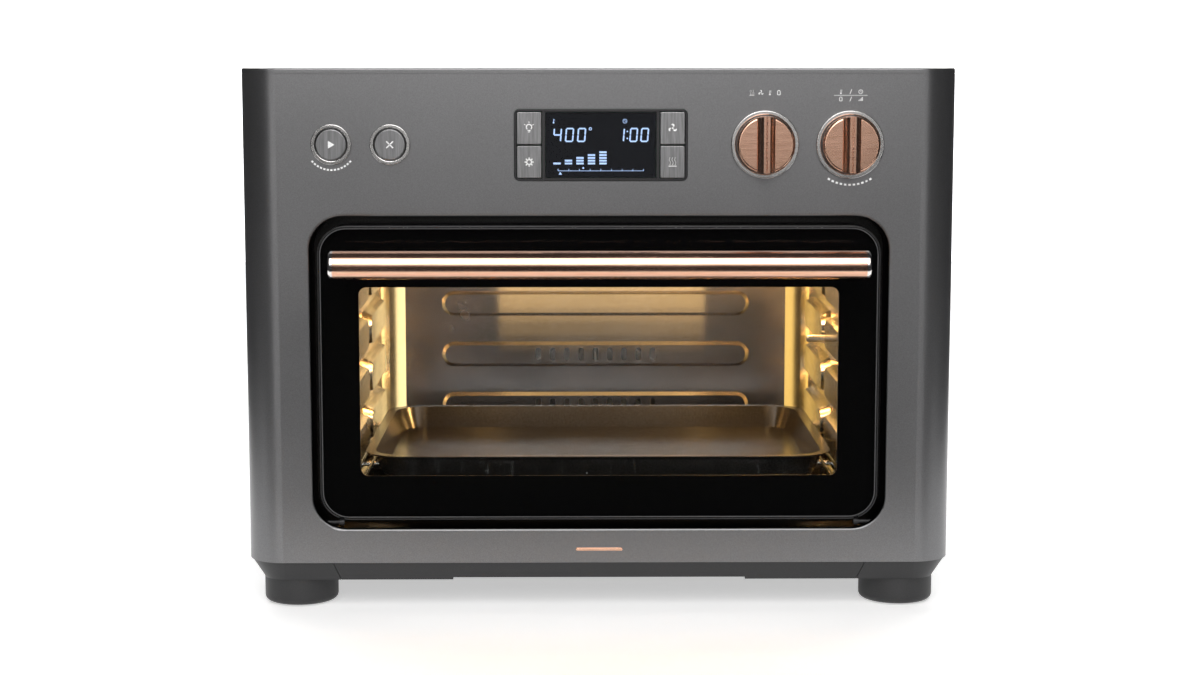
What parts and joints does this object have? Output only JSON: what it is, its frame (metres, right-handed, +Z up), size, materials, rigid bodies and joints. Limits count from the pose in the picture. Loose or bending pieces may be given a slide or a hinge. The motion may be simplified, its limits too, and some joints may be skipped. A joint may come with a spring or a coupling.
{
  "type": "countertop convection oven",
  "caption": "Countertop convection oven with a drop-down glass door, copper bar handle, two dials, a small display, wire rack, pan and crumb tray.",
  "frame": {"origin": "middle of the overall box, on the surface that the oven stands on", "axes": "+X to the right seen from the front, +Y towards the back, +Z up"},
  "size_m": [0.452, 0.424, 0.346],
  "materials": {
    "graphite_paint": "satin graphite paint with a fine metallic fleck",
    "dark_casing": "satin dark grey",
    "plinth_grey": "satin dark grey",
    "foot_plastic": "fine moulded texture",
    "pad_rubber": "matt",
    "copper": "brushed rose copper plating",
    "polished_trim": "polished",
    "zinc_screw": "zinc plated",
    "cavity_steel": "bright stamped sheet",
    "insulation": "glass fibre felt",
    "fan_cover_grey": "grey non-stick coating",
    "motor_steel": "zinc plated",
    "heater_rod": "dark oxidised sheath",
    "heater_ceramic": "unglazed",
    "lamp_glass": "clear",
    "lamp_cover": "lightly frosted",
    "probe_steel": "satin",
    "circuit_board": "solder mask",
    "switch_plastic": "moulded",
    "ring_silver": "spun satin",
    "bezel_black": "satin black",
    "display_glass": "dark tinted",
    "display_dark": "dark display",
    "seal_rubber": "silicone",
    "hinge_steel": "zinc plated",
    "spring_steel": "bright",
    "door_glass": "black printed border with a clear window",
    "door_black": "satin black enamel",
    "inner_glass": "clear",
    "rack_wire": "chromed wire",
    "pan_enamel": "dark glossy non-stick enamel",
    "button_silver": "satin"
  },
  "bodies": {
    "oven_body": {"front_fascia": "graphite_paint", "side_panel_left": "graphite_paint", "side_panel_right": "graphite_paint", "top_cover": "graphite_paint", "back_panel": "dark_casing", "base_pan": "plinth_grey", "feet": "foot_plastic", "foot_pads": "pad_rubber", "rear_spacers": "foot_plastic", "cord_bushing": "pad_rubber", "badge_bar": "copper", "body_screws": "zinc_screw", "cavity_wall_left": "cavity_steel", "cavity_wall_right": "cavity_steel", "cavity_roof": "cavity_steel", "cavity_back_wall": "cavity_steel", "cavity_front_frame": "pan_enamel", "insulation_blankets": "insulation", "fan_cover": "fan_cover_grey", "fan_motor": "motor_steel", "heating_rods": "heater_rod", "heater_insulators": "heater_ceramic", "oven_lamp": "lamp_glass", "lamp_lens": "lamp_cover", "temperature_probe": "probe_steel", "power_board": "circuit_board", "control_board": "circuit_board", "control_switches": "switch_plastic", "control_rings": "ring_silver", "display_bezel": "bezel_black", "display_lens": "display_glass", "display_panel": "display_dark", "door_gasket": "seal_rubber", "hinge_brackets": "hinge_steel", "hinge_pins": "hinge_steel", "hinge_springs": "spring_steel"},
    "door": {"door_outer_glass": "door_glass", "door_frame": "door_black", "door_inner_glass": "inner_glass", "hinge_arms": "hinge_steel", "handle_bar": "copper", "handle_end_caps": "polished_trim", "handle_posts": "copper", "handle_screws": "zinc_screw"},
    "rack": {"wire_rack": "rack_wire", "baking_pan": "pan_enamel"},
    "crumb_tray": {"crumb_tray": "plinth_grey"},
    "fan": {"fan_impeller": "motor_steel", "fan_shaft": "spring_steel"},
    "mode_dial": {"mode_knob": "copper", "mode_shaft": "spring_steel"},
    "temp_plunger": {"temp_shaft": "spring_steel"},
    "temp_dial": {"temp_knob": "copper"},
    "start_button": {"start_button": "button_silver"},
    "cancel_button": {"cancel_button": "button_silver"},
    "light_key": {"light_key": "button_silver"},
    "settings_key": {"settings_key": "button_silver"},
    "convection_key": {"convection_key": "button_silver"},
    "crisp_key": {"crisp_key": "button_silver"}
  },
  "joints": [
    {"name": "door_hinge", "type": "hinge", "parent": "oven_body", "child": "door", "pos_m": [0, -0.1615, 0.0573], "axis": [1, 0, 0], "range_deg": [0, 90], "stiffness_Nm_per_rad": 0.8, "springref_deg": -17.19},
    {"name": "rack_slide", "type": "slide", "parent": "oven_body", "child": "rack", "axis": [0, -1, 0], "range_m": [0, 0.045]},
    {"name": "crumb_tray_slide", "type": "slide", "parent": "oven_body", "child": "crumb_tray", "axis": [0, -1, 0], "range_m": [0, 0.15]},
    {"name": "fan_spin", "type": "hinge", "parent": "oven_body", "child": "fan", "pos_m": [0, 0.144, 0.147], "axis": [0, 1, 0], "continuous": true},
    {"name": "mode_knob_turn", "type": "hinge", "parent": "oven_body", "child": "mode_dial", "pos_m": [0.1038, -0.166, 0.2985], "axis": [0, 1, 0], "continuous": true},
    {"name": "temp_knob_push", "type": "slide", "parent": "oven_body", "child": "temp_plunger", "axis": [0, 1, 0], "range_m": [0, 0.001], "stiffness_N_per_m": 500, "springref_m": -0.0015},
    {"name": "temp_knob_turn", "type": "hinge", "parent": "temp_plunger", "child": "temp_dial", "pos_m": [0.1572, -0.166, 0.2985], "axis": [0, 1, 0], "continuous": true},
    {"name": "start_press", "type": "slide", "parent": "oven_body", "child": "start_button", "axis": [0, 1, 0], "range_m": [0, 0.0012], "stiffness_N_per_m": 400, "springref_m": -0.0015},
    {"name": "cancel_press", "type": "slide", "parent": "oven_body", "child": "cancel_button", "axis": [0, 1, 0], "range_m": [0, 0.0012], "stiffness_N_per_m": 400, "springref_m": -0.0015},
    {"name": "light_press", "type": "slide", "parent": "oven_body", "child": "light_key", "axis": [0, 1, 0], "range_m": [0, 0.0009], "stiffness_N_per_m": 300, "springref_m": -0.0015},
    {"name": "settings_press", "type": "slide", "parent": "oven_body", "child": "settings_key", "axis": [0, 1, 0], "range_m": [0, 0.0009], "stiffness_N_per_m": 300, "springref_m": -0.0015},
    {"name": "convection_press", "type": "slide", "parent": "oven_body", "child": "convection_key", "axis": [0, 1, 0], "range_m": [0, 0.0009], "stiffness_N_per_m": 300, "springref_m": -0.0015},
    {"name": "crisp_press", "type": "slide", "parent": "oven_body", "child": "crisp_key", "axis": [0, 1, 0], "range_m": [0, 0.0009], "stiffness_N_per_m": 300, "springref_m": -0.0015}
  ],
  "couplings": [
    {"joint": "rack_slide", "follows": "door_hinge", "m_per_rad": 0.028}
  ]
}
